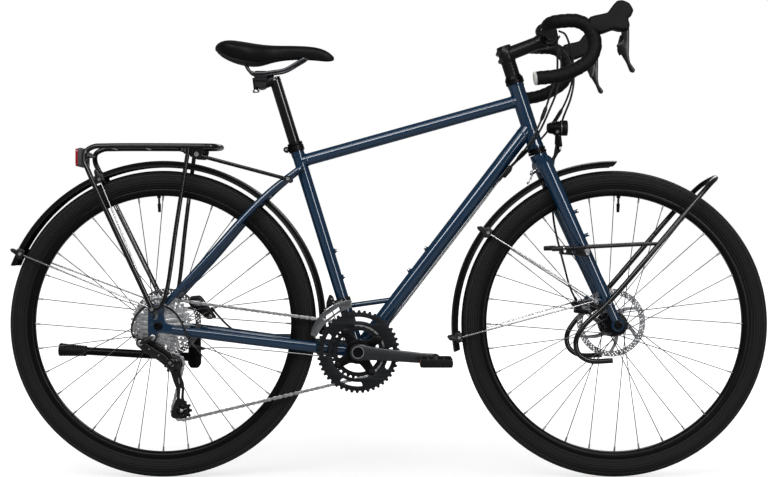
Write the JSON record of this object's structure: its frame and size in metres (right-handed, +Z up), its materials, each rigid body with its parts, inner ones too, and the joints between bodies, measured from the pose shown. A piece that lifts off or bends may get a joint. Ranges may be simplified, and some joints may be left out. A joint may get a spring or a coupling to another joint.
{
  "type": "touring bicycle",
  "caption": "Touring bicycle with a drop handlebar, disc brakes, fenders, rear rack, low-rider front rack, headlight and kickstand.",
  "frame": {"origin": "on the ground, midway between the two axles, in the middle plane of the wheels", "axes": "+X forwards, +Y to the rider's left (the chain is on the -Y side), +Z up"},
  "size_m": [1.756, 0.475, 1.067],
  "materials": {
    "head_tube": "gloss dark blue paint",
    "top_tube": "gloss dark blue paint",
    "down_tube": "gloss dark blue paint",
    "seat_tube": "gloss dark blue paint",
    "chainstay_right": "gloss dark blue paint",
    "chainstay_left": "gloss dark blue paint",
    "seatstay_right": "gloss dark blue paint",
    "seatstay_left": "gloss dark blue paint",
    "seat_clamp": "black anodised",
    "rear_rack": "satin black",
    "rear_reflector": "red moulded lens",
    "rear_fender": "matte black",
    "rear_fender_stays": "bright wire",
    "front_derailleur": "dark grey and bright steel",
    "rear_derailleur": "satin black",
    "rear_brake_caliper": "dark grey",
    "chain": "bright links",
    "rear_axle": "dark steel",
    "rear_brake_cable": "black housing",
    "front_shift_cable": "black housing",
    "rear_shift_cable": "black housing",
    "kickstand_leg": "satin black",
    "seatpost": "black anodised",
    "saddle_rails": "dark steel",
    "saddle": "black cover",
    "cassette": "bright sprockets",
    "upper_pulley": "black",
    "lower_pulley": "black",
    "fork_crown": "gloss dark blue paint",
    "fork_blade_right": "gloss dark blue paint",
    "fork_blade_left": "gloss dark blue paint",
    "stem": "satin black",
    "handlebar": "satin black",
    "bar_tape_right": "black tape",
    "bar_tape_left": "black tape",
    "hood_right": "black rubber",
    "hood_left": "black rubber",
    "headlight": "black case",
    "front_fender": "matte black",
    "front_fender_stays": "bright wire",
    "low_rider_rack": "satin black",
    "front_brake_caliper": "dark grey",
    "front_axle": "dark steel",
    "front_brake_cable": "black housing",
    "brake_lever_right": "black",
    "brake_lever_left": "black",
    "front_tyre": "black rubber",
    "front_rim": "satin black",
    "front_hub": "steel spokes, black hub",
    "front_disc_rotor": "bright steel",
    "rear_tyre": "black rubber",
    "rear_rim": "satin black",
    "rear_hub": "steel spokes, black hub",
    "rear_disc_rotor": "bright steel",
    "crank_right": "dark grey",
    "chainring_outer": "dark grey",
    "chainring_inner": "dark grey",
    "crank_left": "dark grey",
    "pedal_right": "black",
    "pedal_left": "black"
  },
  "bodies": {
    "frame": {"head_tube": "head_tube", "top_tube": "top_tube", "down_tube": "down_tube", "seat_tube": "seat_tube", "chainstay_right": "chainstay_right", "chainstay_left": "chainstay_left", "seatstay_right": "seatstay_right", "seatstay_left": "seatstay_left", "seat_clamp": "seat_clamp", "rear_rack": "rear_rack", "rear_reflector": "rear_reflector", "rear_fender": "rear_fender", "rear_fender_stays": "rear_fender_stays", "front_derailleur": "front_derailleur", "rear_derailleur": "rear_derailleur", "rear_brake_caliper": "rear_brake_caliper", "chain": "chain", "rear_axle": "rear_axle", "rear_brake_cable": "rear_brake_cable", "front_shift_cable": "front_shift_cable", "rear_shift_cable": "rear_shift_cable"},
    "kickstand": {"kickstand_leg": "kickstand_leg"},
    "saddle_post": {"seatpost": "seatpost", "saddle_rails": "saddle_rails", "saddle": "saddle"},
    "cassette_body": {"cassette": "cassette"},
    "upper_pulley_body": {"upper_pulley": "upper_pulley"},
    "lower_pulley_body": {"lower_pulley": "lower_pulley"},
    "steering": {"fork_crown": "fork_crown", "fork_blade_right": "fork_blade_right", "fork_blade_left": "fork_blade_left", "stem": "stem", "handlebar": "handlebar", "bar_tape_right": "bar_tape_right", "bar_tape_left": "bar_tape_left", "hood_right": "hood_right", "hood_left": "hood_left", "headlight": "headlight", "front_fender": "front_fender", "front_fender_stays": "front_fender_stays", "low_rider_rack": "low_rider_rack", "front_brake_caliper": "front_brake_caliper", "front_axle": "front_axle", "front_brake_cable": "front_brake_cable"},
    "lever_right": {"brake_lever_right": "brake_lever_right"},
    "lever_left": {"brake_lever_left": "brake_lever_left"},
    "front_wheel": {"front_tyre": "front_tyre", "front_rim": "front_rim", "front_hub": "front_hub", "front_disc_rotor": "front_disc_rotor"},
    "rear_wheel": {"rear_tyre": "rear_tyre", "rear_rim": "rear_rim", "rear_hub": "rear_hub", "rear_disc_rotor": "rear_disc_rotor"},
    "crankset": {"crank_right": "crank_right", "chainring_outer": "chainring_outer", "chainring_inner": "chainring_inner", "crank_left": "crank_left"},
    "pedal_right_body": {"pedal_right": "pedal_right"},
    "pedal_left_body": {"pedal_left": "pedal_left"}
  },
  "joints": [
    {"name": "steering_turn", "type": "hinge", "parent": "frame", "child": "steering", "pos_m": [0.34615, 0, 0.74879], "axis": [-0.3057, 0, 0.9521], "range_deg": [-40, 40], "deforming": ["rear_brake_cable", "front_shift_cable", "rear_shift_cable"]},
    {"name": "front_wheel_spin", "type": "hinge", "parent": "steering", "child": "front_wheel", "pos_m": [0.523, 0, 0.355], "axis": [0, 1, 0], "continuous": true},
    {"name": "rear_wheel_spin", "type": "hinge", "parent": "frame", "child": "rear_wheel", "pos_m": [-0.523, 0, 0.355], "axis": [0, 1, 0], "continuous": true},
    {"name": "crank_spin", "type": "hinge", "parent": "frame", "child": "crankset", "pos_m": [-0.07, 0, 0.294], "axis": [0, 1, 0], "continuous": true},
    {"name": "cassette_spin", "type": "hinge", "parent": "frame", "child": "cassette_body", "pos_m": [-0.523, 0, 0.355], "axis": [0, 1, 0], "continuous": true},
    {"name": "upper_pulley_spin", "type": "hinge", "parent": "frame", "child": "upper_pulley_body", "pos_m": [-0.493, -0.03485, 0.2655], "axis": [0, 1, 0], "continuous": true},
    {"name": "lower_pulley_spin", "type": "hinge", "parent": "frame", "child": "lower_pulley_body", "pos_m": [-0.4755, -0.03485, 0.158], "axis": [0, 1, 0], "continuous": true},
    {"name": "pedal_right_spin", "type": "hinge", "parent": "crankset", "child": "pedal_right_body", "pos_m": [0.10478, 0, 0.27809], "axis": [0, 1, 0], "continuous": true},
    {"name": "pedal_left_spin", "type": "hinge", "parent": "crankset", "child": "pedal_left_body", "pos_m": [-0.24478, 0, 0.30991], "axis": [0, 1, 0], "continuous": true},
    {"name": "brake_lever_right_pull", "type": "hinge", "parent": "steering", "child": "lever_right", "pos_m": [0.51051, -0.213, 1.00724], "axis": [0, 1, 0], "range_deg": [0, 25], "stiffness_Nm_per_rad": 1.5, "springref_deg": -8.59},
    {"name": "brake_lever_left_pull", "type": "hinge", "parent": "steering", "child": "lever_left", "pos_m": [0.51051, 0.213, 1.00724], "axis": [0, 1, 0], "range_deg": [0, 25], "stiffness_Nm_per_rad": 1.5, "springref_deg": -8.59},
    {"name": "kickstand_swing", "type": "hinge", "parent": "frame", "child": "kickstand", "pos_m": [-0.461, 0.077, 0.26], "axis": [0, -0.866, -0.5], "range_deg": [0, 72]},
    {"name": "seatpost_height", "type": "slide", "parent": "frame", "child": "saddle_post", "axis": [-0.2957, 0, 0.9553], "range_m": [-0.1, 0.04]}
  ],
  "couplings": [
    {"joint": "cassette_spin", "follows": "crank_spin", "ratio": 1},
    {"joint": "upper_pulley_spin", "follows": "crank_spin", "ratio": -2.7273},
    {"joint": "lower_pulley_spin", "follows": "crank_spin", "ratio": 2.7273}
  ]
}
